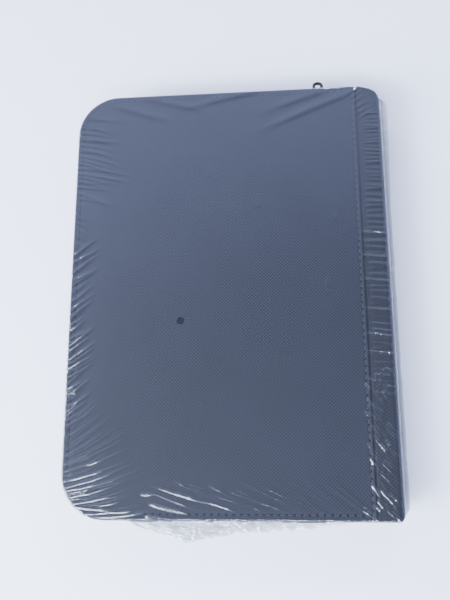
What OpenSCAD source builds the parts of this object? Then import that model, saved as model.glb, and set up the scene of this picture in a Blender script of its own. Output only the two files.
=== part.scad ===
// Trading card binder: a zip-around case for collector's cards, still in its clear wrapping.
// It lies on its front cover, the way it is packed. +X points to the spine, +Y to the top edge,
// +Z up. The origin is on the rest plane, under the middle of the covers. Units: mm.

/* [Case] */
// Width of the closed case, from the free edge to the spine
case_w = 184; // [160:1:260]
// Height of the case along the spine
case_h = 253.6; // [220:0.2:340]
// Thickness of the closed case
case_t = 30; // [24:1:50]
// Thickness of each cover, wrapping included
cover_t = 4; // [3:0.5:6]
// Radius of the two corners away from the spine
free_corner_r = 25; // [10:1:40]
// Radius of the top corner at the spine
top_spine_r = 12; // [3:0.5:14]
// Radius of the bottom corner at the spine
low_spine_r = 4; // [3:0.5:12]
// Radius of the fold from a cover into the spine
fold_r = 4; // [3:0.5:8]

/* [Layers] */
// Thickness of the outer woven skin
skin_t = 0.8; // [0.5:0.1:1.5]
// Thickness of the soft padding under the skin
foam_t = 1; // [0.5:0.1:3]
// Thickness of the stiff board
board_t = 1.6; // [1:0.1:3]
// Thickness of the lining
lining_t = 0.4; // [0.3:0.1:0.8]
// Where the cover's skin ends in a folded seam, measured from the middle of the case
seam_x = 79.1; // [70:0.1:84]
// How far the strip behind the seam lies below the cover's face
strip_drop = 0.6; // [0:0.1:1.2]

/* [Zip] */
// How far the zip tape stands in from the covers' edge
zip_inset = 3; // [2:0.1:6]
// Thickness of the zip tape
tape_t = 0.6; // [0.4:0.1:1]
// Width of the row of teeth
coil_w = 2; // [1.5:0.1:4]
// Height of one row of teeth
coil_t = 0.62; // [0.4:0.01:2]
// Where the row of teeth ends near the spine
zip_end_x = 66; // [50:1:70]
// Where the slider stands
slider_x = 58.5; // [40:0.5:60]
// Length of the slider
slider_l = 10; // [8:0.5:14]
// Thickness of the pull's wire
wire_d = 2; // [1:0.1:2.4]
// Outside width of the pull
pull_w = 7; // [5:0.5:12]
// Length of the pull from its hinge to its end
pull_l = 15.1; // [10:0.1:30]
// How far the pull droops below level
pull_droop = 20; // [0:5:60]

/* [Pages] */
// Number of pages
page_count = 12; // [2:2:12]
// Half the height of a page
page_half_h = 110; // [80:1:115]
// Where a page is hinged
page_root_x = 86; // [80:0.5:87]
// Where a page ends, near the free edge
page_tip_x = -79; // [-84:1:-60]
// Thickness of a page's middle sheet
page_t = 0.3; // [0.2:0.05:0.6]
// Thickness of the thin hinge margin
margin_t = 0.15; // [0.1:0.05:0.3]
// Width of the thin hinge margin
margin_w = 12; // [8:1:20]
// Thickness of a pocket's clear front
pocket_t = 0.2; // [0.1:0.05:0.3]
// Width of a pocket
pocket_w = 71; // [66:1:80]
// Height of a pocket
pocket_h = 104; // [92:1:110]

/* [Wrapping] */
// Thickness of the clear film
film_t = 0.2; // [0.1:0.05:0.4]
// Diameter of the air hole in the film
vent_d = 4.4; // [3:0.1:8]
// How far the sealed edge stands out along the spine
fin_w = 6.6; // [2:0.1:8]

/* [Hidden] */
half_w = case_w / 2;
half_h = case_h / 2;
mid_z = case_t / 2;
edge = film_t;                          // the skin's outline lies this far inside the film's
fold_x = half_w - fold_r;               // centre of the fold's arc
strip_r = fold_r - film_t - strip_drop; // outside radius of the strip's fold
strip_in_r = strip_r - skin_t;
foam_z = film_t + skin_t;
board_z = foam_z + foam_t;
lining_z = board_z + board_t;
board_end_x = 79;
tuck_x = 72;                            // how far the hinge strip reaches in under the skin
page_gap = (case_t - 2 * (cover_t + 1)) / page_count;
axis_y = half_h + 1.2;                  // the pull's hinge line
tape_y = half_h - edge - zip_inset - tape_t / 2;
gap = 0.02;
tall = 2 * half_h + 40;
vent_x = -26.1;
vent_y = -17.6;
$fn = 96;

// ---- outlines and helpers ----

// The case's outline seen from above, shrunk by `inset` and cut off straight at x = `right`.
module plan(inset, right) {
    r = free_corner_r - inset;
    left = -half_w + inset;
    top = half_h - inset;
    translate([left, -(top - r)]) square([right - left, 2 * (top - r)]);
    translate([left + r, -top]) square([right - left - r, 2 * top]);
    translate([left + r, top - r]) circle(r);
    translate([left + r, -(top - r)]) circle(r);
}

// The outline near the spine, with its two smaller corners.
module spine_plan(inset) {
    right = half_w - inset;
    top = half_h - inset;
    ra = top_spine_r - inset;
    rb = low_spine_r - inset;
    translate([60, -top]) square([right - 60 - ra, 2 * top]);
    translate([60, -top + rb]) square([right - 60, 2 * top - ra - rb]);
    translate([60, -top]) square([right - 60 - rb, top]);
    translate([right - ra, top - ra]) circle(ra);
    translate([right - rb, -top + rb]) circle(rb);
}

// A flat layer of the front cover between two heights.
module layer(inset, right, z0, z1) {
    translate([0, 0, z0]) linear_extrude(z1 - z0) plan(inset, right);
}

// A band that runs round the three open edges, from one inset to another.
module band(outer, inner, right, z0, z1) {
    difference() {
        layer(outer, right, z0, z1);
        layer(inner, right + 1, z0 - 1, z1 + 1);
    }
}

// Turns what was built for the front cover over, to make it the back cover's.
module turned_over() {
    translate([0, 0, mid_z]) mirror([0, 0, 1]) translate([0, 0, -mid_z]) children();
}

// A section drawn in X and Z, run along the spine.
module along_spine(half) {
    translate([0, half, 0]) rotate([90, 0, 0]) linear_extrude(2 * half) children();
}

// A quarter tube at the fold; `from` and `to` are angles below the level line through its centre.
module fold_arc(r_out, r_in, cover_side) {
    intersection() {
        difference() {
            translate([fold_x, 0, fold_r]) rotate([90, 0, 0]) cylinder(h = tall, r = r_out, center = true);
            translate([fold_x, 0, fold_r]) rotate([90, 0, 0]) cylinder(h = tall + 2, r = r_in, center = true);
        }
        along_spine(tall / 2) fold_half(cover_side);
    }
}

// The half of the fold that belongs to the cover (1) or to the spine (0).
module fold_half(cover_side) {
    s = fold_r + 1;
    g = cover_side == 1 ? -gap : gap;
    translate([fold_x + g, fold_r]) polygon(cover_side == 1 ? [[-g, 0], [-g, -s], [s, -s], [0, 0]]
                                                            : [[0, 0], [s, -s], [s, 0]]);
}

// ---- front cover ----

module front_outer_skin() {
    color("#46526a") {
        layer(edge, seam_x, film_t, foam_z);
        band(edge, edge + skin_t, seam_x, foam_z, cover_t);
    }
}

module front_foam() {
    color("#d8d8d2") layer(edge + skin_t, tuck_x, foam_z, board_z);
}

module front_board() {
    color("#8d7a5f") layer(edge + skin_t, board_end_x, board_z, lining_z);
}

module front_lining() {
    color("#2a2d33") layer(edge + 7, board_end_x, lining_z, cover_t);
}

// The strip behind the seam. It is tucked in under the skin and bends round into the spine.
module front_hinge_strip() {
    low = film_t + strip_drop;
    color("#3f4a60") intersection() {
        union() {
            translate([tuck_x, -half_h + 1.2, foam_z]) cube([seam_x + 1 - tuck_x, 2 * half_h - 2.4, 0.7]);
            translate([seam_x + 0.1, -half_h, low]) cube([fold_x - seam_x - 0.1, 2 * half_h, skin_t]);
            translate([seam_x + 0.1, -half_h, low]) cube([1.2, 2 * half_h, foam_z + 0.7 - low]);
            fold_arc(strip_r, strip_in_r, 1);
        }
        translate([0, 0, -1]) linear_extrude(case_t) spine_plan(edge);
    }
}

// ---- back cover: the front cover's layers, turned over ----

module back_outer_skin() {
    turned_over() front_outer_skin();
}

module back_foam() {
    turned_over() front_foam();
}

module back_board() {
    turned_over() front_board();
}

module back_lining() {
    turned_over() front_lining();
}

module back_hinge_strip() {
    turned_over() front_hinge_strip();
}

// ---- spine ----

module spine_skin() {
    x0 = fold_x + strip_in_r;
    color("#3f4a60") intersection() {
        union() {
            translate([x0, -half_h, fold_r]) cube([skin_t, 2 * half_h, case_t - 2 * fold_r]);
            fold_arc(strip_r, strip_in_r, 0);
            turned_over() fold_arc(strip_r, strip_in_r, 0);
        }
        translate([0, 0, -1]) linear_extrude(case_t + 2) spine_plan(edge);
    }
}

module spine_board() {
    y0 = -half_h + low_spine_r;
    len = 2 * half_h - low_spine_r - top_spine_r;
    color("#8d7a5f") translate([fold_x + 0.9, y0, 4.6]) cube([1.4, len, case_t - 9.2]);
}

module spine_lining() {
    y0 = -half_h + low_spine_r;
    len = 2 * half_h - low_spine_r - top_spine_r;
    color("#2a2d33") translate([fold_x + 0.4, y0, 4.8]) cube([lining_t, len, case_t - 9.6]);
}

// The welded strip that all the pages hang from.
module binding_strip() {
    z0 = cover_t + 1;
    x0 = page_root_x + 0.3;
    w = fold_x + 0.35 - x0;
    color("#24272c") translate([x0, -page_half_h, z0]) cube([w, 2 * page_half_h, case_t - 2 * z0]);
}

// ---- zip ----

// The tape lies between skin and lining, then stands up as a low wall round the edge.
module zip_tape_front() {
    wall = edge + zip_inset;
    color("#3a465c") {
        band(edge + skin_t, edge + 7, zip_end_x, lining_z, cover_t);
        band(wall, wall + tape_t, zip_end_x, cover_t, mid_z - 0.03 - coil_t);
    }
}

module zip_tape_back() {
    turned_over() zip_tape_front();
}

// One row of teeth. It parts round the wedge inside the slider.
module zip_coil_front() {
    c = edge + zip_inset + tape_t / 2;
    color("#2c3444") difference() {
        band(c - coil_w / 2, c + coil_w / 2, zip_end_x, mid_z - 0.03 - coil_t, mid_z - 0.03);
        translate([slider_x + 2.2, tape_y - 3, mid_z - 2]) cube([2.6, 6, 4]);
    }
}

module zip_coil_back() {
    turned_over() zip_coil_front();
}

// The two metal stops that end the row of teeth, clamped over the front tape.
module zip_end_stops() {
    color("#23262b") for (side = [-1, 1]) {
        translate([zip_end_x + 0.05, side * tape_y - 1.3, mid_z - 2.8]) cube([1.6, 2.6, 2.7]);
    }
}

// The fabric tabs that hold the ends of the front tape at both ends of the spine.
module zip_end_tabs() {
    color("#3a465c") for (side = [-1, 1]) {
        translate([zip_end_x + 1.75, side * tape_y - 0.5, cover_t + 0.02]) cube([9, 1, 10.3]);
        translate([zip_end_x + 1.75, side * tape_y - 2, lining_z]) cube([9, 4, cover_t + 0.02 - lining_z]);
    }
}

// Two plates, a wedge between them, two lips that hold the front tape, and the pull's lug.
module zip_slider_body() {
    x0 = slider_x - slider_l / 2;
    color("#17191d") {
        difference() {
            union() {
                translate([x0, tape_y + 1.4, mid_z - 4]) cube([slider_l, 1, 8]);
                translate([x0, tape_y - 2.4, mid_z - 4]) cube([slider_l, 1, 8]);
                translate([x0, tape_y + 0.6, mid_z - 4]) cube([slider_l, 1, 0.8]);
                translate([x0, tape_y - 1.6, mid_z - 4]) cube([slider_l, 1, 0.8]);
                translate([slider_x + 2.6, tape_y - 1.6, mid_z - 0.5]) cube([1.8, 3.2, 1]);
                translate([slider_x - 0.8, tape_y + 2.2, mid_z - 1.9]) cube([1.6, axis_y - tape_y - 2.2, 3.8]);
                translate([slider_x - 0.8, axis_y, mid_z]) rotate([0, 90, 0]) cylinder(h = 1.6, r = 1.9);
            }
            translate([slider_x - 2, axis_y, mid_z]) rotate([0, 90, 0]) cylinder(h = 4, r = wire_d / 2 + 0.15);
        }
    }
}

// A closed wire loop. Its straight end runs through the slider's lug.
module zip_pull_loop() {
    r = wire_d / 2;
    side = pull_w / 2 - r;
    reach = pull_l - pull_w / 2;
    color("#17191d") translate([slider_x, axis_y, mid_z]) rotate([-pull_droop, 0, 0]) {
        rotate([0, 90, 0]) cylinder(h = 2 * side, r = r, center = true, $fn = 32);
        for (s = [-1, 1]) {
            translate([s * side, 0, 0]) sphere(r, $fn = 32);
            translate([s * side, 0, 0]) rotate([-90, 0, 0]) cylinder(h = reach, r = r, $fn = 32);
        }
        translate([0, reach, 0]) rotate_extrude(angle = 180, $fn = 64) translate([side, 0]) circle(r, $fn = 32);
    }
}

// ---- pages ----

// Height of page k above the rest plane, for k from 1 upwards.
function page_z(k) = cover_t + 1 + page_gap * (k - 0.5);

module page_sheet(k) {
    w = page_root_x - margin_w - page_tip_x;
    z = page_z(k);
    color("#1d1f22") union() {
        translate([page_tip_x, -page_half_h, z - page_t / 2]) cube([w, 2 * page_half_h, page_t]);
        translate([page_tip_x + w, -page_half_h, z - margin_t / 2]) cube([margin_w, 2 * page_half_h, margin_t]);
    }
}

// Four clear pockets on each side of a page.
module page_pockets(k) {
    z = page_z(k);
    color("#cfd6dc", 0.4) for (face = [-1, 1], col = [0, 1], row = [-1, 1]) {
        x = page_tip_x + 2.5 + col * (pocket_w + 4);
        y = row * (pocket_h / 2 + 2) - pocket_h / 2;
        dz = face > 0 ? page_t / 2 : -page_t / 2 - pocket_t;
        translate([x, y, z + dz]) cube([pocket_w, pocket_h, pocket_t]);
    }
}

// ---- clear wrapping ----

// The front cover's film, with a skirt up the three open edges and half of the fold.
module film_front() {
    color("#e8eef4", 0.3) {
        layer(0, 70, 0, film_t);
        band(0, edge, seam_x, film_t, cover_t);
        intersection() {
            union() {
                translate([69, -half_h, 0]) cube([fold_x - 69, 2 * half_h, film_t]);
                fold_arc(fold_r, fold_r - film_t, 1);
            }
            translate([0, 0, -1]) linear_extrude(case_t) spine_plan(0);
        }
    }
}

module film_back() {
    difference() {
        turned_over() film_front();
        translate([vent_x, vent_y, case_t - 1]) cylinder(h = 3, d = vent_d);
    }
}

module film_spine() {
    color("#e8eef4", 0.3) intersection() {
        union() {
            translate([half_w - film_t, -half_h, fold_r]) cube([film_t, 2 * half_h, case_t - 2 * fold_r]);
            fold_arc(fold_r, fold_r - film_t, 0);
            turned_over() fold_arc(fold_r, fold_r - film_t, 0);
        }
        translate([0, 0, -1]) linear_extrude(case_t + 2) spine_plan(0);
    }
}

// The gathered end of the film, past the bottom edge.
module film_end_flap() {
    p = [[-67, 0], [-50, -7.2], [-35, -11.3], [-24, -14.6], [-14, -12], [5, -9.2], [37, -7], [64, -4], [76, 0]];
    color("#e8eef4", 0.3) translate([0, -half_h - 0.02, cover_t - 0.5]) linear_extrude(0.3) polygon(p);
}

// The sealed edge of the film, along the middle of the spine.
module film_side_fin() {
    color("#e8eef4", 0.3) translate([half_w + 0.02, -118, mid_z - 0.15]) cube([fin_w, 236, 0.3]);
}

// ---- one line for each node ----
front_outer_skin();
front_foam();
front_board();
front_lining();
front_hinge_strip();
back_outer_skin();
back_foam();
back_board();
back_lining();
back_hinge_strip();
spine_skin();
spine_board();
spine_lining();
binding_strip();
zip_tape_front();
zip_tape_back();
zip_coil_front();
zip_coil_back();
zip_end_stops();
zip_end_tabs();
zip_slider_body();
zip_pull_loop();
film_front();
film_back();
film_spine();
film_end_flap();
film_side_fin();
page_sheet(1);  // page_01_sheet
page_sheet(2);  // page_02_sheet
page_sheet(3);  // page_03_sheet
page_sheet(4);  // page_04_sheet
page_sheet(5);  // page_05_sheet
page_sheet(6);  // page_06_sheet
page_sheet(7);  // page_07_sheet
page_sheet(8);  // page_08_sheet
page_sheet(9);  // page_09_sheet
page_sheet(10);  // page_10_sheet
page_sheet(11);  // page_11_sheet
page_sheet(12);  // page_12_sheet
page_pockets(1);  // page_01_pockets
page_pockets(2);  // page_02_pockets
page_pockets(3);  // page_03_pockets
page_pockets(4);  // page_04_pockets
page_pockets(5);  // page_05_pockets
page_pockets(6);  // page_06_pockets
page_pockets(7);  // page_07_pockets
page_pockets(8);  // page_08_pockets
page_pockets(9);  // page_09_pockets
page_pockets(10);  // page_10_pockets
page_pockets(11);  // page_11_pockets
page_pockets(12);  // page_12_pockets
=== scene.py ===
# %% [markdown]
# # A trading card binder in its clear wrapping
# The binder is a zip-around case: two padded, woven covers, a spine between them, a zip round three sides,
# and pages of clear pockets inside. It lies closed on its front cover and is still shrink-wrapped. We could
# type its sizes in again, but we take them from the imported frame, so that every piece we add sits where the
# solid parts say. Shapes are worked out in millimetres, and MM turns them into metres.

# %% Load the frame and measure the case
import functools
import math
import random

import bpy
import numpy as np
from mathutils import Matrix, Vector, noise


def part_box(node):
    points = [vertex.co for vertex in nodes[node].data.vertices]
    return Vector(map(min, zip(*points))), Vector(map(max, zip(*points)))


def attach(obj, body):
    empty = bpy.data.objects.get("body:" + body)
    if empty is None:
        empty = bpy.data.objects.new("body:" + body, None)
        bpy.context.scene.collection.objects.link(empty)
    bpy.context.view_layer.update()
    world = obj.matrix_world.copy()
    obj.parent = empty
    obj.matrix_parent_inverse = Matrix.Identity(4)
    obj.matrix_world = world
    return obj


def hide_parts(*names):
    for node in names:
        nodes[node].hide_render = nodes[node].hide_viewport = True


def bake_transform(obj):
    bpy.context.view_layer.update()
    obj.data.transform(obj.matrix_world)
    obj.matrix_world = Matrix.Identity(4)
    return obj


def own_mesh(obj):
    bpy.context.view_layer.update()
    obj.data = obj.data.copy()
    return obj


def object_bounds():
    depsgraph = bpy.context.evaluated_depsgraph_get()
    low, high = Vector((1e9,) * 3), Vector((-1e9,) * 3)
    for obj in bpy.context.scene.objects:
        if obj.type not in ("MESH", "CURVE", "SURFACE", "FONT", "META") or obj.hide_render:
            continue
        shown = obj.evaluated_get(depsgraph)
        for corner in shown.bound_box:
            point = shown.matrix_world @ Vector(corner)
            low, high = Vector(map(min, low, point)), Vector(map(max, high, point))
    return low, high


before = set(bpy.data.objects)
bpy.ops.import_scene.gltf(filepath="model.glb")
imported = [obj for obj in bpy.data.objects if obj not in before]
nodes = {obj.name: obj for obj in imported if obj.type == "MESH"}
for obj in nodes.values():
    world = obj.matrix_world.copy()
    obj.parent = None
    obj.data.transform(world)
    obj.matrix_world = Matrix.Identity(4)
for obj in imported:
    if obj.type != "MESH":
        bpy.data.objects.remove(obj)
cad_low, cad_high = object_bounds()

MM = 0.001
film_low, film_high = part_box("film_back")
HALF_W = -film_low.x / MM
HALF_H = film_high.y / MM
TOP = film_high.z / MM
MID = TOP / 2
CORNER_R = 25.0
SPINE_TOP_R = 12.0
SPINE_LOW_R = 4.0
FOLD_R = 4.0
FILM_GAP = 0.2
FOLD_X = HALF_W - FOLD_R
SEAM_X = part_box("back_outer_skin")[1].x / MM
print(f"case {2 * HALF_W:.1f} x {2 * HALF_H:.1f} x {TOP:.1f} mm, seam at {SEAM_X:.1f}")

# %% [markdown]
# ## Camera
# The binder is seen from almost straight above, from a little below its middle and to its right. A camera
# can be aimed at a target by a constraint, but a plain place and turn also keep its slight roll, so we set
# those.

# %% Set up the camera
camera_data = bpy.data.cameras.new("camera")
camera_data.lens = 37.284
camera_data.sensor_width = 36.0
camera = bpy.data.objects.new("camera", camera_data)
camera.location = (0.02835, -0.0847, 0.3764)
camera.rotation_euler = [math.radians(a) for a in (12.74, 4.79, -0.16)]
bpy.context.scene.collection.objects.link(camera)
bpy.context.scene.camera = camera
print("camera at", tuple(round(c, 3) for c in camera.location))

# %% [markdown]
# ## Table
# The table is a plain pale sheet, large enough that its rim stays out of view. One square does it, with a
# slight cloudy change of shade from a noise texture. We also write the small helpers that all the later
# cells share: one makes a mesh from points and faces, and the others build materials node by node.

# %% Make the table
def new_mesh(name, points, faces, loops_uv=None):
    mesh = bpy.data.meshes.new(name)
    mesh.from_pydata([tuple(p) for p in points], [], [tuple(f) for f in faces])
    if loops_uv is not None:
        layer = mesh.uv_layers.new(name="cloth")
        corner = np.array([v for f in faces for v in f])
        layer.data.foreach_set("uv", np.asarray(loops_uv)[corner].astype(np.float32).ravel())
    piece = bpy.data.objects.new(name, mesh)
    bpy.context.scene.collection.objects.link(piece)
    return piece


def finish(name, colour, roughness):
    material = bpy.data.materials.new(name)
    material.use_nodes = True
    shader = material.node_tree.nodes["Principled BSDF"]
    shader.inputs["Base Color"].default_value = (*colour, 1)
    shader.inputs["Roughness"].default_value = roughness
    return material, material.node_tree, shader


def add(tree, kind, sockets=(), **settings):
    node = tree.nodes.new(kind)
    for key, value in settings.items():
        setattr(node, key, value)
    for key, value in dict(sockets).items():
        if isinstance(value, bpy.types.NodeSocket):
            tree.links.new(value, node.inputs[key])
        else:
            node.inputs[key].default_value = value
    return node


def sums(tree, operation, a, b=0.5):
    return add(tree, "ShaderNodeMath", {0: a, 1: b}, operation=operation).outputs[0]


def two_colours(tree, fac, dark, light):
    node = add(tree, "ShaderNodeMix", {0: fac}, data_type="RGBA")
    node.inputs[6].default_value = (*dark, 1)
    node.inputs[7].default_value = (*light, 1)
    return node.outputs[2]


def bumped(tree, shader, height, strength, distance):
    node = add(tree, "ShaderNodeBump", {"Height": height, "Strength": strength, "Distance": distance})
    tree.links.new(node.outputs[0], shader.inputs["Normal"])


table_finish, tree, shader = finish("pale_table", (0.78, 0.82, 0.95), 0.55)
grain = add(tree, "ShaderNodeTexNoise", {"Scale": 3.0, "Detail": 2.0})
shade = two_colours(tree, grain.outputs[0], (0.770, 0.815, 0.945), (0.790, 0.835, 0.960))
tree.links.new(shade, shader.inputs["Base Color"])
reach = 4.0
table_corners = [(-reach, -reach, 0), (reach, -reach, 0), (reach, reach, 0), (-reach, reach, 0)]
table = new_mesh("table", table_corners, [(0, 1, 2, 3)])
table.location.z = cad_low.z - 0.2 * MM
table.data.materials.append(table_finish)
print("table ready")

# %% [markdown]
# ## Light
# The room is bright all round, with one dimmer patch overhead. The flat film mirrors that patch, so the
# cover keeps its dark blue and shows a pale sheen only towards its top left. Windows on the left, behind
# and in front light the cloth, and a few narrow lamps put thin glints on the film's creases. A single
# picture of a room could light it all, but area lights and a few world nodes are easier to steer one by
# one.

# %% Place the lights
def soft_light(name, place, size, power, colour):
    lamp = bpy.data.lights.new(name, "AREA")
    lamp.shape = "RECTANGLE"
    lamp.size, lamp.size_y = size
    lamp.energy = power
    lamp.color = colour
    holder = bpy.data.objects.new(name, lamp)
    holder.location = place
    holder.rotation_euler = (-Vector(place)).to_track_quat("-Z", "Y").to_euler()
    bpy.context.scene.collection.objects.link(holder)


def room_light(patch_left, patch_right, bright, middle, spread):
    """A bright room with a dim soft patch overhead, which is what the flat film mirrors."""
    world = bpy.data.worlds.new("room")
    world.use_nodes = True
    tree = world.node_tree
    way = add(tree, "ShaderNodeSeparateXYZ", {0: add(tree, "ShaderNodeTexCoord").outputs["Generated"]})
    far = []
    for axis, centre, size in zip("XY", middle, spread):
        off = sums(tree, "MULTIPLY", sums(tree, "SUBTRACT", way.outputs[axis], centre), 1 / size)
        far.append(sums(tree, "MULTIPLY", off, off))
    q = sums(tree, "SQRT", sums(tree, "ADD", far[0], far[1]))
    fade = add(tree, "ShaderNodeMapRange", {0: q, 1: 0.70, 2: 2.0}, interpolation_type="SMOOTHSTEP")
    side = add(tree, "ShaderNodeMapRange", {0: way.outputs["X"], 1: -0.35, 2: 0.42})
    patch = two_colours(tree, side.outputs[0], patch_left, patch_right)
    tint = two_colours(tree, fade.outputs[0], (0, 0, 0), bright)
    tree.links.new(patch, tint.node.inputs[6])
    tree.links.new(tint, tree.nodes["Background"].inputs["Color"])
    tree.nodes["Background"].inputs["Strength"].default_value = 1.0
    bpy.context.scene.world = world


room_light(patch_left=(0.37, 0.44, 0.56), patch_right=(0.12, 0.16, 0.23), bright=(1.22, 1.38, 2.32),
           middle=(0.14, -0.10), spread=(0.50, 0.40))
soft_light("window", (-0.85, -0.47, 0.75), (0.7, 0.7), 54, (0.85, 0.91, 1.0))
soft_light("far_window", (-1.4, 1.7, 1.4), (1.3, 0.3), 24, (0.88, 0.94, 1.0))
soft_light("front_window", (-0.35, -1.0, 1.2), (1.6, 0.55), 11, (0.74, 0.84, 1.0))
soft_light("glint_front", (-0.30, -0.98, 1.22), (1.5, 0.09), 38, (0.86, 0.93, 1.0))
soft_light("glint_back", (0.45, 1.35, 1.2), (0.5, 0.18), 12, (0.94, 0.97, 1.0))
soft_light("glint_warm", (-0.95, -0.62, 1.15), (0.12, 0.12), 2.4, (1.0, 0.84, 0.76))

# %% [markdown]
# ## Woven cover cloth
# The covers are a slate-blue polyester with a small checked weave. The real checks are about 1.5 mm apart;
# ours are a little wider, so that they still show from this far away. Modelled yarns would be far too many,
# so we multiply a sine wave along the cloth by one across it, and the product drives both a change of
# colour and a shallow bump. Our cover pieces carry flat cloth coordinates in metres as their texture map,
# so the weave follows the cloth over its edges; the solid parts use their own coordinates.

# %% Weave the cloth
CHECK = 1.95 * MM


def cloth(name, dark, light, contrast, from_map=True):
    material, tree, shader = finish(name, dark, 0.62)
    place = add(tree, "ShaderNodeTexCoord").outputs["UV" if from_map else "Object"]
    k = 2 * math.pi / CHECK
    waves = []
    for way in ((k, 0, k), (0, k, k)):
        along = add(tree, "ShaderNodeVectorMath", {0: place, 1: way}, operation="DOT_PRODUCT")
        waves.append(sums(tree, "SINE", along.outputs["Value"]))
    check = sums(tree, "MULTIPLY", waves[0], waves[1])
    yarn = add(tree, "ShaderNodeTexNoise", {"Vector": place, "Scale": 2600.0, "Detail": 2.0})
    cloud = add(tree, "ShaderNodeTexNoise", {"Vector": place, "Scale": 28.0, "Detail": 3.0})
    fac = sums(tree, "MULTIPLY_ADD", check, contrast)
    fac.node.inputs[2].default_value = 0.5
    fac = sums(tree, "ADD", fac, sums(tree, "MULTIPLY", sums(tree, "SUBTRACT", yarn.outputs[0]), 0.25))
    fac = sums(tree, "ADD", fac, sums(tree, "MULTIPLY", sums(tree, "SUBTRACT", cloud.outputs[0]), 0.35))
    tree.links.new(two_colours(tree, fac, dark, light), shader.inputs["Base Color"])
    shader.inputs["Sheen Weight"].default_value = 0.02
    shader.inputs["Specular IOR Level"].default_value = 0.12
    shader.inputs["Sheen Roughness"].default_value = 0.4
    height = sums(tree, "ADD", check, sums(tree, "MULTIPLY", yarn.outputs[0], 0.15))
    bumped(tree, shader, height, 0.22, 0.12 * MM)
    return material


cover_cloth = cloth("cover_cloth", (0.0004, 0.0005, 0.0014), (0.0128, 0.0146, 0.0296), 0.90)
spine_cloth = cloth("spine_cloth", (0.0003, 0.0004, 0.0010), (0.0096, 0.0108, 0.0210), 0.90)
tape_cloth = cloth("tape_cloth", (0.0030, 0.0036, 0.0080), (0.0130, 0.0148, 0.0280), 0.60, from_map=False)
lining_cloth = cloth("lining_cloth", (0.006, 0.007, 0.009), (0.020, 0.022, 0.028), 0.40, from_map=False)
print("cloths:", cover_cloth.name, spine_cloth.name, tape_cloth.name, lining_cloth.name)

# %% [markdown]
# ## Other solid finishes
# Foam, board, moulded plastic, black enamel, nylon and thread differ in colour, shine and grain, but not in
# how they are made, so one recipe serves them all: noise that changes the shade, the roughness and a slight
# bump. Most of them are seen at the rims, at the ends of the spine, and when the binder opens.

# %% Mix the solid finishes
def grainy(name, dark, light, scale, roughness, strength, gloss=0.3):
    material, tree, shader = finish(name, dark, roughness)
    shader.inputs["Specular IOR Level"].default_value = gloss
    place = add(tree, "ShaderNodeTexCoord").outputs["Object"]
    grain = add(tree, "ShaderNodeTexNoise", {"Vector": place, "Scale": scale, "Detail": 6.0})
    tree.links.new(two_colours(tree, grain.outputs[0], dark, light), shader.inputs["Base Color"])
    rough = add(tree, "ShaderNodeMapRange", {0: grain.outputs[0], 3: roughness - 0.08, 4: roughness + 0.08})
    tree.links.new(rough.outputs[0], shader.inputs["Roughness"])
    bumped(tree, shader, grain.outputs[0], strength, 0.1 * MM)
    return material


foam_finish = grainy("foam", (0.012, 0.013, 0.016), (0.034, 0.036, 0.042), 1500, 0.9, 0.8)
board_finish = grainy("dark_board", (0.024, 0.023, 0.022), (0.055, 0.052, 0.048), 700, 0.85, 0.5)
binding_finish = grainy("welded_plastic", (0.012, 0.013, 0.015), (0.026, 0.028, 0.031), 900, 0.42, 0.4)
enamel = grainy("black_enamel", (0.003, 0.003, 0.004), (0.008, 0.008, 0.010), 500, 0.34, 0.15, 0.35)
teeth_finish = grainy("nylon_teeth", (0.016, 0.021, 0.036), (0.034, 0.043, 0.070), 1200, 0.38, 0.3)
thread_finish = grainy("thread", (0.014, 0.015, 0.028), (0.030, 0.032, 0.055), 3000, 0.6, 0.9, 0.1)
# painted shade: the near-black beads stand for the dark inside of the needle holes
painted_hole_shade = grainy("needle_hole_shade", (0.0008, 0.0008, 0.0012), (0.0020, 0.0020, 0.0030), 2000, 0.9, 0.3, 0.0)
print("solid finishes ready")

# %% [markdown]
# ## Clear film
# Shrink film is thin, clear and shiny, with a little milky haze. A glass shader would bend light through it
# and add noise, so we mix a see-through shader with a shiny one, by how steeply the film is seen. The
# gathered end and the sealed side hold several layers, so they get more haze. The sealed side's dark grey
# haze is also painted shade, for the shadow under the fin and the dark side of the case it mirrors: it is
# darkest beside the spine and fades towards its rim. The pages' clear pockets use the same recipe.

# %% Mix the clear finishes
def clear(name, haze_and_shade, tint, roughness, mirror, grain_scale, grain_depth, metal=0.8, shaded_root=False):
    """mirror is the share of light sent back when the film is seen face on; it grows as the film slants."""
    material, tree, shader = finish(name, tint, roughness)
    shader.inputs["Metallic"].default_value = metal
    place = add(tree, "ShaderNodeTexCoord").outputs["Object"]
    ripple = add(tree, "ShaderNodeTexNoise", {"Vector": place, "Scale": grain_scale, "Detail": 2.0})
    bumped(tree, shader, ripple.outputs[0], 0.3, grain_depth)
    slant = add(tree, "ShaderNodeLayerWeight", {"Blend": 0.5}).outputs["Facing"]
    edge = sums(tree, "MULTIPLY_ADD", sums(tree, "POWER", slant, 5.0), 1 - mirror)
    edge.node.inputs[2].default_value = mirror
    cloud = add(tree, "ShaderNodeTexNoise", {"Vector": place, "Scale": 60.0, "Detail": 4.0})
    milk_and_shade = sums(tree, "MULTIPLY", cloud.outputs[0], 2 * haze_and_shade)
    # painted shade: on the sealed side the dark haze is strongest beside the spine and fades towards the rim
    if shaded_root:
        x = add(tree, "ShaderNodeSeparateXYZ", {0: place}).outputs["X"]
        start, end = (HALF_W + 2.7) * MM, (HALF_W + 7.6) * MM
        root_shade = add(tree, "ShaderNodeMapRange", {0: x, 1: start, 2: end, 3: haze_and_shade, 4: 0.36 * haze_and_shade})
        milk_and_shade = root_shade.outputs[0]
    fac = sums(tree, "ADD", edge, milk_and_shade)
    fac.node.use_clamp = True
    empty = add(tree, "ShaderNodeBsdfTransparent")
    mix = add(tree, "ShaderNodeMixShader", {0: fac, 1: empty.outputs[0], 2: shader.outputs[0]})
    tree.links.new(mix.outputs[0], tree.nodes["Material Output"].inputs["Surface"])
    return material


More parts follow.
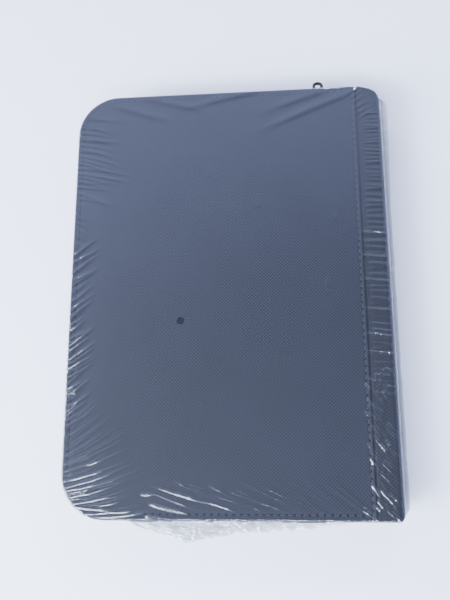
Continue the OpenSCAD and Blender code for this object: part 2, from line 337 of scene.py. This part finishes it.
film_finish = clear("shrink_film", 0.004, (0.93, 0.96, 1.0), 0.04, 0.075, 90, 0.0001, 0.9)
gathered_finish = clear("gathered_film", 0.40, (0.16, 0.17, 0.20), 0.14, 0.10, 160, 0.0004, 0.0)
# the sealed side's dark grey is partly its layers' haze and partly painted shade for the shadow under the fin
# and the dark case side it mirrors
sealed_shade_finish = clear("sealed_film_painted_shade", 0.95, (0.050, 0.052, 0.078), 0.35, 0.05, 160, 0.0002, 0.0, True)
for crumpled, bend in ((gathered_finish, 3.0), (sealed_shade_finish, 1.6)):
    crumpled.node_tree.nodes["Principled BSDF"].inputs["IOR"].default_value = bend
pocket_finish = clear("clear_pocket", 0.008, (0.93, 0.95, 0.97), 0.10, 0.05, 60, 0.0003)
print("clear finishes:", film_finish.name, gathered_finish.name, pocket_finish.name)

# %% [markdown]
# ## Laying a flat sheet over the cover
# Cloth and film both start flat and are laid over the cover: flat on top, round the edge, and down the
# side, and on the other side round the fold into the spine. A cloth simulation could drape them, but a
# formula gives the same result every time, so we write it once. `u` and `v` are places on the flat sheet.
# Near the two big corners the sheet's square rings become rounded rings, so no face is pinched. Past the
# seam the sheet also widens by SWELL, because the outline of the cloth and film there is a little wider
# than the solid spine.

# %% Bend flat sheets over the cover
SWELL = 2.7


def lay(u, v, inset=0.0, top=TOP, edge_r=1.3, fold_r=FOLD_R, sag=0.35):
    """Places (in mm) of flat points u, v on the upper cover."""
    left = -HALF_W + inset
    b = HALF_H - inset
    r = CORNER_R - inset
    near = np.minimum(u - left, b - np.abs(v))
    cx, cy = left + r, b - r
    corner = (u < cx) & (np.abs(v) > cy)
    vx, vy = u - cx, np.abs(v) - cy
    n = np.hypot(vx, vy) + 1e-9
    ring = r - np.maximum(near, 0)
    x = np.where(corner, cx + vx / n * ring, np.maximum(u, left))
    y = np.where(corner, cy + vy / n * ring, np.minimum(np.abs(v), b))
    around = np.clip((u - FOLD_X) / fold_r, 0, math.pi / 2)
    down = np.maximum(u - FOLD_X - fold_r * math.pi / 2, 0)
    past = u > FOLD_X
    x = np.where(past, FOLD_X + fold_r * np.sin(around), x)
    z = np.where(past, top - fold_r * (1 - np.cos(around)) - down, top)
    for side, corner_r in ((1, SPINE_TOP_R - inset), (-1, SPINE_LOW_R - inset)):
        start = HALF_W - inset - corner_r
        run = np.clip(x - start, 0, corner_r)
        limit = b - corner_r + np.sqrt(np.maximum(corner_r ** 2 - run ** 2, 0))
        y = np.where(v * side > 0, y * limit / b, y)
    share = np.clip((u - SEAM_X - 1.5) / (FOLD_X - SEAM_X), 0, 1)
    x = x + SWELL * share ** 2 * (3 - 2 * share)
    y = y * np.sign(v)
    bend = np.sqrt(np.maximum(edge_r ** 2 - np.clip(edge_r - near, 0, edge_r) ** 2, 0))
    short = 1 - 0.7 * np.clip((u - 78) / 10, 0, 1)
    depth = np.where(near >= edge_r, 0, np.where(near > 0, edge_r - bend, edge_r - near * short))
    sinks = sag * np.exp(-np.maximum(near, 0) / 9.0) * (near > -1)
    depth = depth + sinks * (1 - np.clip((u - 70) / 9, 0, 1))
    return np.stack([x - depth * np.sin(around), y, z - depth * np.cos(around)], axis=-1)


edge_drop = lay(np.array([0.0, -95.0]), np.array([0.0, 0.0]))
print("the sheet falls from", edge_drop[0], "to", edge_drop[1])

# %% [markdown]
# ## From a grid to a piece
# Every sheet of cloth or film is a grid of flat places that has been bent. Blender's own grid has even
# steps, but a crease or an edge needs close lines where a flat stretch needs few, so we choose the lines
# ourselves. The same helper turns any such grid into a mesh, with its flat places kept as the texture map.

# %% Make pieces from grids
def spaced(*stops):
    """Grid lines from (place, step) pairs: steps change along the way."""
    lines = [stops[0][0]]
    for (a, step), (b, _) in zip(stops, stops[1:]):
        count = max(1, round((b - a) / step))
        lines += [a + (b - a) * (i + 1) / count for i in range(count)]
    return np.array(lines)


def outward(points):
    """Unit normals of a grid of points."""
    n = np.cross(np.gradient(points, axis=0), np.gradient(points, axis=1))
    return n / (np.linalg.norm(n, axis=-1, keepdims=True) + 1e-12)


def sheet_piece(name, points, u, v, material, turned_over=False, keep=None):
    """A grid of points (mm) as one mesh, smooth shaded, with its flat places as its map."""
    rows, cols = points.shape[:2]
    points = points.copy()
    if turned_over:
        points[..., 2] = TOP - points[..., 2]
    index = np.arange(rows * cols).reshape(rows, cols)
    quads = np.stack([index[:-1, :-1], index[1:, :-1], index[1:, 1:], index[:-1, 1:]], axis=-1)
    if turned_over:
        quads = quads[..., ::-1]
    if keep is not None:
        quads = quads[keep]
    faces = quads.reshape(-1, 4).tolist()
    flat = np.stack([u, v], axis=-1).reshape(-1, 2) * MM
    piece = new_mesh(name, (points.reshape(-1, 3) * MM).tolist(), faces, flat)
    piece.data.polygons.foreach_set("use_smooth", [True] * len(faces))
    piece.data.materials.append(material)
    return piece


def thicken(piece, thickness):
    shell = piece.modifiers.new("thickness", "SOLIDIFY")
    shell.thickness = thickness * MM
    shell.offset = -1
    bpy.context.view_layer.update()
    solid = bpy.data.meshes.new_from_object(piece.evaluated_get(bpy.context.evaluated_depsgraph_get()))
    piece.modifiers.clear()
    piece.data = solid
    return piece


print("grid lines close up near an edge:", spaced((0, 2.0), (6, 0.5), (8, 1)))

# %% [markdown]
# ## Outer skins
# Each cover's skin is padded: the top stitching pulls a shallow channel into it near the edge, and the skin
# stands a touch higher beside that channel. By the spine it ends in a folded seam that stands a little
# proud. A bump in the material would vanish from the side, so we press the channel and raise the fold in
# the mesh itself, and then give the sheet its thickness.

# %% Sew the outer skins
STITCH_IN = 3.6
SEAM_STITCH_X = SEAM_X - 1.9
SKIN_TOP = TOP - 0.28
SIDE = {"back": False, "front": True}


def skin_height(u, v):
    near = np.minimum(u + HALF_W, HALF_H - np.abs(v))
    channel = np.exp(-((near - STITCH_IN) / 0.75) ** 2) * (u < SEAM_STITCH_X + 1)
    channel = np.maximum(channel, np.exp(-((u - SEAM_STITCH_X) / 0.7) ** 2))
    pad = 0.10 * np.exp(-((near - 6.5) / 2.2) ** 2)
    fold = 0.10 * np.exp(-((u - SEAM_X + 0.8) / 0.65) ** 2)
    lip = -0.55 * np.clip((u - SEAM_X + 0.35) / 0.35, 0, 1) ** 2
    return -0.22 * channel + pad + fold + lip


def outer_skin(cover, turned_over):
    u1 = spaced((-HALF_W - 3.0, 0.8), (-HALF_W, 0.3), (-HALF_W + 8, 0.45), (-60, 2.0), (70, 1.5), (74, 0.3),
                (SEAM_X, 1))
    half = spaced((0, 2.0), (100, 1.5), (HALF_H - 8, 0.45), (HALF_H - 1.6, 0.3), (HALF_H - 0.2, 0.3),
                  (HALF_H + 3.0, 1))
    v1 = np.concatenate([-half[:0:-1], half])
    u, v = np.meshgrid(u1, v1, indexing="ij")
    points = lay(u, v, inset=FILM_GAP, top=SKIN_TOP, edge_r=1.2)
    points += outward(points) * skin_height(u, v)[..., None]
    skin = sheet_piece(f"{cover}_skin", points, u, v, cover_cloth, turned_over)
    thicken(skin, 0.7)
    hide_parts(f"{cover}_outer_skin")
    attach(skin, f"{cover}_cover")
    return skin


for cover, turned_over in SIDE.items():
    skin = outer_skin(cover, turned_over)
    print(skin.name, len(skin.data.polygons), "faces")

# %% [markdown]
# ## Spine cloth
# One strip of cloth starts under the seam, runs to the fold and turns down over the spine. It bends when
# the binder opens, so it can't ride on one body, and a blend joins two bodies while this cloth crosses
# three. We make two pieces that meet along the middle of the spine, and bake each one's place into its
# points.


def across_fold(piece, cover):
    if cover == "back":
        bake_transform(piece)
    else:
        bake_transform(piece)
    return piece


STRIP_TOP = TOP - 0.8
STRIP_FOLD_R = 3.2
FOLD_END = FOLD_X + STRIP_FOLD_R * math.pi / 2 + (STRIP_TOP - STRIP_FOLD_R - MID)


def spine_wrap(cover, turned_over):
    u1 = spaced((74.5, 0.5), (FOLD_END, 1))
    half = spaced((0, 2.0), (108, 0.8), (HALF_H - 0.2, 0.3), (HALF_H + 0.6, 0.4))
    v1 = np.unique(np.concatenate([-half, half]))
    u, v = np.meshgrid(u1, v1, indexing="ij")
    points = lay(u, v, inset=FILM_GAP, top=STRIP_TOP, edge_r=0.6, fold_r=STRIP_FOLD_R, sag=0)
    tuck = -0.70 * np.clip((SEAM_X + 1.5 - u) / 0.9, 0, 1)
    waves = np.array([[noise.noise(Vector((a * 0.05, b * 0.05, 3.0))) for b in v1] for a in u1])
    points += outward(points) * (tuck + 0.08 * waves)[..., None]
    wrap = sheet_piece(f"{cover}_spine_wrap", points, u, v, spine_cloth, turned_over)
    thicken(wrap, 0.55)
    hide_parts(f"{cover}_hinge_strip", "spine_skin")
    return across_fold(wrap, cover)


for cover, turned_over in SIDE.items():
    wrap = spine_wrap(cover, turned_over)
    print(wrap.name, len(wrap.data.polygons), "faces")

# %% [markdown]
# ## Stitching
# A row of top stitches, 4 mm each, runs round the three open edges of each cover, and a second row holds
# the seam by the spine. Each stitch is a short bead of thread that dips into the cloth at both ends, with a
# needle hole between it and the next; the hole's dark inside is painted shade, a near-black bead. Stitches
# could be painted on, but thread catches light and shows from the side, so it is real geometry. Each bead is
# turned by a slightly different angle, as sewn ones are.

# %% Trace the stitch line
PITCH = 4.0


def edge_path(inset, end_x):
    """Points and lengths along a line that runs round the three open edges."""
    r = CORNER_R - inset
    left, b = -HALF_W + inset, HALF_H - inset
    points = [(end_x, b)]
    for side, a0 in ((1, 90), (-1, 180)):
        for a in range(0, 91, 3):
            t = math.radians(a0 + a)
            points.append((left + r + r * math.cos(t), side * (b - r) + r * math.sin(t)))
    points.append((end_x, -b))
    points = np.array(points)
    return points, np.concatenate([[0], np.cumsum(np.linalg.norm(np.diff(points, axis=0), axis=1))])


def along(path, s):
    points, length = path
    at = np.array([np.interp(s, length, points[:, i]) for i in (0, 1)])
    ahead = np.array([np.interp(s + 0.2, length, points[:, i]) for i in (0, 1)])
    before = np.array([np.interp(s - 0.2, length, points[:, i]) for i in (0, 1)])
    t = ahead - before
    return at, t / np.linalg.norm(t)


stitch_line = edge_path(STITCH_IN, SEAM_STITCH_X - 2)
print(f"the stitch line is {stitch_line[1][-1]:.0f} mm long")

# %% [markdown]
# ## The thread itself
# One bead of thread is a short tube, fatter in its middle, whose ends dip down. The same shape, shorter,
# wider and near black, is painted shade for the dark inside of each needle hole. Instances would save
# memory, but joined into one piece the beads follow their cover as a single object.

# %% Sew the stitches
def bead(at, t, z, long, wide, high, rings=6, sides=8):
    """A rounded bead lying along t: its points and faces, in mm."""
    points, faces = [], []
    across = np.array([-t[1], t[0]])
    for i in range(rings + 1):
        s = -1 + 2 * i / rings
        fat = math.sqrt(max(0.03, 1 - abs(s) ** 3))
        for j in range(sides):
            a = 2 * math.pi * j / sides
            xy = at + t * s * long / 2 + across * math.cos(a) * wide / 2 * fat
            points.append((xy[0], xy[1], z - 0.22 * s ** 4 + math.sin(a) * high / 2 * fat))
    for i in range(rings):
        for j in range(sides):
            k, m = i * sides + j, i * sides + (j + 1) % sides
            faces.append((k, m, m + sides, k + sides))
    faces.append(tuple(range(sides))[::-1])
    faces.append(tuple(rings * sides + j for j in range(sides)))
    return points, faces


def gather(parts):
    points, faces = [], []
    for p, f in parts:
        faces += [tuple(i + len(points) for i in face) for face in f]
        points += p
    return np.array(points), faces


def plain_piece(name, parts, material, turned_over=False):
    points, faces = gather(parts)
    if turned_over:
        points[:, 2] = TOP - points[:, 2]
        faces = [f[::-1] for f in faces]
    piece = new_mesh(name, (points * MM).tolist(), faces)
    piece.data.polygons.foreach_set("use_smooth", [True] * len(faces))
    piece.data.materials.append(material)
    return piece


def stitch_places():
    places = [along(stitch_line, s) for s in np.arange(2, stitch_line[1][-1] - 1, PITCH)]
    reach = HALF_H - 4
    places += [(np.array([SEAM_STITCH_X, y]), np.array([0.0, 1.0])) for y in np.arange(-reach, reach, PITCH)]
    return places


random.seed(11)
places = stitch_places()
tilted = [(at, t @ np.array([[1, a], [-a, 1]])) for at, t in places for a in [random.uniform(-0.06, 0.06)]]
thread_z = SKIN_TOP - 0.20
for cover, turned_over in SIDE.items():
    beads = [bead(at, t, thread_z, 3.1, 0.62, 0.5) for at, t in tilted]
    thread = plain_piece(f"{cover}_thread", beads, thread_finish, turned_over)
    # painted shade: a near-black bead between each pair of stitches stands for the hole's dark inside
    hole_shade_beads = [bead(at + t * PITCH / 2, t, thread_z + 0.04, 1.7, 1.05, 0.40, 3, 8) for at, t in tilted]
    holes = plain_piece(f"{cover}_needle_hole_shades", hole_shade_beads, painted_hole_shade, turned_over)
    for piece in (thread, holes):
        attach(piece, f"{cover}_cover")
print(len(places), "stitches on each cover")

# %% [markdown]
# ## Zip
# The zip's two tapes stand up from the covers as low walls, and their rows of nylon teeth meet half way.
# The tapes keep their solid shape and only get a woven finish. The solid rows are plain bars, so we replace
# them: each tooth is a small rounded bead, and the two rows are half a step apart so that they mesh.

# %% Close the zip
TOOTH_STEP = 1.5
ZIP_IN = 3.5
ZIP_END_X = 66
zip_row = edge_path(ZIP_IN, ZIP_END_X)
for cover, shift in (("front", 0.0), ("back", TOOTH_STEP / 2)):
    teeth = []
    for s in np.arange(0.8 + shift, zip_row[1][-1] - 0.8, TOOTH_STEP):
        at, t = along(zip_row, s)
        across = np.array([-t[1], t[0]])
        level = MID - 0.38 if cover == "front" else MID + 0.38
        teeth.append(bead(at, across, level, 2.2, 0.95, 0.72, 4, 8))
    row = plain_piece(f"zip_teeth_{cover}", teeth, teeth_finish)
    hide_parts(f"zip_coil_{cover}")
    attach(row, f"{cover}_cover")
    print(row.name, len(teeth), "teeth")

# %% [markdown]
# ## Finishes on the solid parts
# The parts whose shape is already right only get a finish. The slider and the end stops also get a small
# rounded edge from a modifier, because cast metal has no sharp corners and a rounded edge catches a line of
# light.


def dress(name, material, smooth=False, rounded=0.0):
    part = nodes[name]
    part.data.materials.clear()
    part.data.materials.append(material)
    if rounded:
        edge = part.modifiers.new("rounded", "BEVEL")
        edge.width = rounded * MM
        edge.segments = 3
        edge.limit_method = "ANGLE"
        edge.angle_limit = math.radians(35)
    if smooth:
        part.data.polygons.foreach_set("use_smooth", [True] * len(part.data.polygons))


for cover in SIDE:
    dress(f"{cover}_foam", foam_finish)
    dress(f"{cover}_board", board_finish)
    dress(f"{cover}_lining", lining_cloth)
    dress(f"zip_tape_{cover}", tape_cloth)
dress("spine_board", board_finish)
dress("spine_lining", lining_cloth)
dress("binding_strip", binding_finish)
dress("zip_end_tabs", tape_cloth)
dress("zip_end_stops", enamel, rounded=0.25)
dress("zip_slider_body", enamel, rounded=0.22)
dress("zip_pull_loop", enamel, smooth=True)
print("dressed", len(nodes), "solid parts so far")

# %% [markdown]
# ## Pages
# Each page is a thin black sheet with four clear pockets on each side. The pockets are welded on, and the
# welds show as lines of fine dots along the page's height. Thousands of modelled dots would weigh the file
# down, so they come from a repeating wave that is only let through near those lines. The sheet itself has
# the faint leather grain of soft plastic.

# %% Finish the pages
WELD_DOT = 1.6 * MM
WELD_LINES = 75 * MM
WELD_MIDDLE = -3.5 * MM


def page_plastic():
    material, tree, shader = finish("page_plastic", (0.010, 0.011, 0.012), 0.42)
    place = add(tree, "ShaderNodeTexCoord").outputs["Object"]
    grain = add(tree, "ShaderNodeTexVoronoi", {"Vector": place, "Scale": 1400.0})
    cloud = add(tree, "ShaderNodeTexNoise", {"Vector": place, "Scale": 45.0, "Detail": 4.0})
    shade = two_colours(tree, cloud.outputs[0], (0.009, 0.010, 0.011), (0.020, 0.022, 0.024))
    tree.links.new(shade, shader.inputs["Base Color"])
    xyz = add(tree, "ShaderNodeSeparateXYZ", {0: place})
    dots = sums(tree, "SINE", sums(tree, "MULTIPLY", xyz.outputs["Y"], 2 * math.pi / WELD_DOT))
    from_middle = sums(tree, "SUBTRACT", xyz.outputs["X"], WELD_MIDDLE)
    lines = sums(tree, "COSINE", sums(tree, "MULTIPLY", from_middle, 2 * math.pi / WELD_LINES))
    near = sums(tree, "GREATER_THAN", lines, 0.995)
    weld = sums(tree, "MULTIPLY", dots, near)
    height = sums(tree, "ADD", sums(tree, "MULTIPLY", grain.outputs["Distance"], 0.5), weld)
    bumped(tree, shader, height, 0.4, 0.1 * MM)
    return material


page_finish = page_plastic()
pages = sorted(n for n in nodes if n.startswith("page_") and n.endswith("_sheet"))
for name in pages:
    dress(name, page_finish)
    dress(name.replace("sheet", "pockets"), pocket_finish)
print(len(pages), "pages dressed")

# %% [markdown]
# ## Shrink film with its creases
# The film is pulled tight by heat, so it lies flat in the middle and gathers into creases at the edges:
# short ones across the left edge, a fan at the bottom left corner, long slanting ones along the bottom, and
# small waves down the strip by the spine. Sculpting them by hand couldn't be repeated, so each crease is a
# narrow ridge on a curved line that fades at both ends. Where sharp ridges cross, the higher one stays;
# soft ones add up. The film is pushed out by the total.

# %% Draw the creases
def crease(field, x, y, start, angle, length, width, height, bend=0.0, sharp=True):
    """Adds one ridge to the field. bend is how far (mm) its far end curves to the left."""
    a = math.radians(angle)
    dx, dy = x - start[0], y - start[1]
    s = (dx * math.cos(a) + dy * math.sin(a)) / length
    t = -dx * math.sin(a) + dy * math.cos(a) - bend * np.clip(s, 0, 1) ** 2
    near = (s > -0.1) & (s < 1.05) & (np.abs(t) < 5 * width)
    fade = np.clip((s + 0.1) / 0.2, 0, 1) * np.clip((1.05 - s) / 0.5, 0, 1)
    ridge = np.exp(-np.abs(t) / width) if sharp else np.exp(-(t / width) ** 2)
    rise = (height * fade * ridge)[near]
    field[near] = np.maximum(field[near], rise) if sharp else field[near] + rise


def jitter(value, share):
    return value * random.uniform(1 - share, 1 + share)


ruler = np.linspace(-2, 2, 9)
one_crease = np.zeros_like(ruler)
crease(one_crease, ruler * 0 + 5, ruler, (0, 0), 0, 20, 0.5, 0.4)
print("heights across one crease:", one_crease.round(2))

# %% [markdown]
# ## Where the creases lie
# Each side of the cover has its own kind of crease, so each gets a short function that calls the one above
# with random lengths and gaps. A noise texture would be quicker, but its creases wouldn't run away from the
# edges and corners as these do.

# %% Place the creases
def left_creases(put):
    """Soft ones at the top, then short strokes that turn upwards further down."""
    left = -HALF_W
    y = 115.0
    while y > 60:
        angle = random.uniform(-16, -2)
        length, width = jitter(30, 0.3), jitter(0.9, 0.2)
        put((left - 2, y), angle, length, width, jitter(0.17, 0.4), jitter(-2, 0.9), False)
        y -= jitter(2.9, 0.3)
    while y > 20:
        put((left - 2, y), random.uniform(-42, -18), jitter(12, 0.4), 0.7, jitter(0.22, 0.5))
        y -= jitter(2.8, 0.3)
    while y > -84:
        put((left - 3, y), random.uniform(24, 42), jitter(19, 0.35), jitter(0.55, 0.2), jitter(0.56, 0.4))
        y -= jitter(2.5, 0.3)


def corner_creases(put, count=40):
    """A fan that follows the rounded corner, and a few tall creases beside and below it."""
    left, low = -HALF_W, -HALF_H
    for i in range(count):
        share = i / (count - 1)
        y = -80 - 44 * share
        x = left
        if y <= low + CORNER_R:
            x = left + CORNER_R - math.sqrt(CORNER_R ** 2 - (y - low - CORNER_R) ** 2)
        angle = 34 - 38 * share + random.uniform(-3, 3)
        length = jitter(22 + 30 * share, 0.25)
        put((x - 3, y), angle, length, jitter(0.48, 0.2), jitter(0.27, 0.4), jitter(1 + 9 * share, 0.3))
    tall_ones = ((-83, -119.5, -7, 30, 0.42), (-41, -118, -15, 24, 0.6), (-43, -124.2, -10, 13, 0.6),
                 (-46, -113, -3, 9, 0.4), (-27, -112, -22, 15, 0.5), (-20, -108, -27, 12, 0.5),
                 (-9, -108, -30, 11, 0.45), (-62, -122.5, 3, 12, 0.4), (6, -110, -28, 12, 0.4))
    for x, y, angle, length, height in tall_ones:
        put((x, y), angle, length, jitter(0.75, 0.15), height, 1.0)


def bottom_creases(put):
    """Long slanting ones, which steepen to the right, and short steep ones beside the spine."""
    x = -44.0
    while x < 62:
        length = jitter(36, 0.35)
        slope = -20 - 26 * max(0, x) / 76 + random.uniform(-4, 4)
        start = (x, -HALF_H + 1 + length * 0.42)
        put(start, slope, length, 0.5, jitter(0.26, 0.6), jitter(2, 0.8))
        x += jitter(2.9, 0.4)
    y = -126.0
    while y < -50:
        start = (79 + random.uniform(-4, 9), y + 5)
        put(start, random.uniform(-60, -46), jitter(7, 0.4), 0.40, jitter(0.52, 0.4))
        y += jitter(1.15, 0.4)


def strip_creases(put):
    """Small waves down the spine's strip, six taller ones among them, and slanting ones at its top."""
    y = -60.0
    while y < 108:
        fading = np.clip((y - 30) / 40, 0, 1)
        start = (80 + 3 * fading + random.uniform(0, 2), y)
        height = jitter(0.22 - 0.13 * fading, 0.4)
        angle = random.uniform(-9, 4)
        put(start, angle, jitter(15, 0.2), jitter(1.0 - 0.3 * fading, 0.3), height, 0, False)
        y += jitter(3.6 - 0.9 * fading, 0.3)
    for y in (32, 18, 4, -13, -27, -37):
        put((80, y), random.uniform(-10, -3), 20, 0.7, 0.64)
    for i in range(6):
        put((75 + 1.3 * i, 121 - 3.2 * i), random.uniform(26, 40), 9, 0.7, 0.12, 0, False)


def loose_folds(put):
    """Wide soft folds from the top corners, and short specks here and there."""
    soft = ((-70, 121, -22, 42), (-50, 125, -18, 40), (76, 122, 201, 62), (60, 124, 196, 40),
            (20, 126, 190, 50))
    for x, y, angle, length in soft:
        put((x, y), angle, length, 2.2, 0.30, 2, False)
    specks = ((-39, 100), (45, 93), (58, 0), (58, -4), (52, -76), (-60, 30), (20, 50), (30, -40), (-10, 70),
              (65, 40))
    for x, y in specks:
        put((x, y), random.uniform(60, 110), jitter(4, 0.5), 0.5, 0.16)


def creases(x, y):
    """The film's height (mm) at places x, y on the cover."""
    field = np.zeros_like(x)
    put = functools.partial(crease, field, x, y)
    for part in (left_creases, corner_creases, bottom_creases, strip_creases, loose_folds):
        part(put)
    return field


random.seed(4)
trial = np.meshgrid(spaced((-95, 2), (95, 2)), spaced((-130, 2), (130, 2)), indexing="ij")
print("tallest crease", round(float(creases(*trial).max()), 2), "mm")

# %% [markdown]
# ## Wrapping the film
# The film of each cover reaches half way down the spine, and a short skirt of it turns over the open edges.
# The upper sheet has the round air hole that such wrapping has. A boolean cut would spoil the even grid, so
# we leave out the faces inside the hole and move the ring of points around it onto a true circle.

# %% Wrap the film
VENT = (-26.1, -17.6)
VENT_R = 2.2
SKIRT = 7.0
FILM_END = FOLD_X + FOLD_R * math.pi / 2 + (TOP - FOLD_R - MID)


def open_vent(u, v):
    """Moves grid lines near the hole onto its rim, and says which quads stay."""
    du, dv = u - VENT[0], v - VENT[1]
    r = np.hypot(du, dv) + 1e-9
    reach = np.maximum(np.abs(du), np.abs(dv))
    pull = np.clip((6.0 - reach) / 4.0, 0, 1)
    rounded = reach / r
    scale = 1 + (rounded - 1) * pull
    inside = reach < VENT_R - 1e-6
    corners = inside[:-1, :-1] | inside[1:, :-1] | inside[1:, 1:] | inside[:-1, 1:]
    return VENT[0] + du * scale, VENT[1] + dv * scale, ~corners


def film_sheet(cover, turned_over, step):
    hole = step < 1
    u1 = spaced((-HALF_W - SKIRT, 0.9), (-HALF_W, 0.3), (-HALF_W + 1.5, step), (-50, 1.7 * step),
                (VENT[0] - VENT_R, 0.55), (VENT[0] + VENT_R, 2.3 * step), (72, 0.95 * step), (FOLD_X, 0.5),
                (FILM_END, 1))
    v1 = spaced((-HALF_H - SKIRT, 0.9), (-HALF_H, 0.3), (-HALF_H + 1.5, 0.75 * step), (-84, 1.3 * step),
                (VENT[1] - VENT_R, 0.55), (VENT[1] + VENT_R, 2 * step), (60, 1.4 * step), (HALF_H - 1.5, 0.3),
                (HALF_H, 0.9), (HALF_H + SKIRT, 1))
    u, v = np.meshgrid(u1, v1, indexing="ij")
    keep = None
    if hole:
        u, v, keep = open_vent(u, v)
    random.seed(4 if hole else 9)
    points = lay(u, v)
    height = creases(points[..., 0], points[..., 1]) * (1.0 if hole else 0.25)
    seam_rise = 0.12 * np.exp(-((u - SEAM_X + 0.8) / 0.8) ** 2)
    seam_dip = 0.15 * np.exp(-((u - SEAM_X - 2.0) / 1.2) ** 2)
    points += outward(points) * (height + seam_rise - seam_dip)[..., None]
    sheet = sheet_piece(f"{cover}_film", points, u, v, film_finish, turned_over, keep)
    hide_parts(f"film_{cover}", "film_spine")
    return across_fold(sheet, cover)


for cover, turned_over, step in (("back", False, 0.42), ("front", True, 1.3)):
    sheet = film_sheet(cover, turned_over, step)
    print(sheet.name, len(sheet.data.polygons), "faces")

# %% [markdown]
# ## Gathered end and sealed side
# Past the bottom edge the film is bunched into a thin crumpled flap, and along the spine two layers are
# sealed into a narrow fin. Real crumpling could be simulated, but ridged noise makes sharp little folds at
# once, so the flap gets that; the fin only waves gently.

# %% Crumple the loose ends
def crumple(x, y, scale, seed):
    """Ridged noise from 0 to 1."""
    total = 0.0
    size = 0.55
    for octave in range(3):
        total += size * (1 - abs(2 * noise.noise(Vector((x * scale, y * scale, seed + octave)))))
        scale *= 2.1
        size *= 0.5
    return total


def end_flap():
    outline = ((-67, 0.3), (-50, 7.2), (-35, 11.3), (-24, 14.6), (-14, 12), (5, 9.2), (37, 7), (64, 4),
               (76, 1.6), (84, 0.3))
    u1 = spaced((-67, 0.7), (84, 1))
    v1 = np.linspace(0, 1, 30)
    reach = np.interp(u1, *np.array(outline).T)
    ragged = np.array([1 + 0.16 * noise.noise(Vector((a * 0.25, 0, 1))) for a in u1])
    u, v = np.meshgrid(u1, v1, indexing="ij")
    points = np.zeros(u.shape + (3,))
    points[..., 0] = u
    points[..., 1] = -HALF_H - 0.1 - v * (reach * ragged)[:, None]
    folds = np.array([[crumple(a * 0.5, b * r * 1.3, 0.24, 5) for b in v1] for a, r in zip(u1, reach)])
    points[..., 2] = 4.0 + 3.0 * folds * np.minimum(1, v * 6) - 2.0 * v
    return sheet_piece("end_flap", points, u, points[..., 1], gathered_finish)


def side_fin():
    v1 = spaced((-126, 0.9), (126, 1))
    u1 = np.linspace(0, 1, 8)
    u, v = np.meshgrid(u1, v1, indexing="ij")
    wide = 7.0 + np.array([0.35 * noise.noise(Vector((0, b * 0.08, 2))) for b in v1])
    wide += 1.6 * np.clip((v1 - 50) / 60, 0, 1)
    wide *= np.sqrt(np.clip((127 - np.abs(v1)) / 6, 0.02, 1))
    wave = np.array([noise.noise(Vector((1, b * 0.22, 7))) for b in v1])
    points = np.zeros(u.shape + (3,))
    points[..., 0] = HALF_W + 0.02 + u * wide[None, :]
    points[..., 1] = v
    points[..., 2] = MID + u * wave[None, :] * 0.9
    # the fin's dark grey finish is partly painted shade
    return sheet_piece("side_fin", points, points[..., 0], v, sealed_shade_finish)


flap = end_flap()
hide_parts("film_end_flap")
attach(flap, "front_cover")
fin = side_fin()
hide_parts("film_side_fin")
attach(fin, "spine")
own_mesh(fin)
print(flap.name, fin.name)
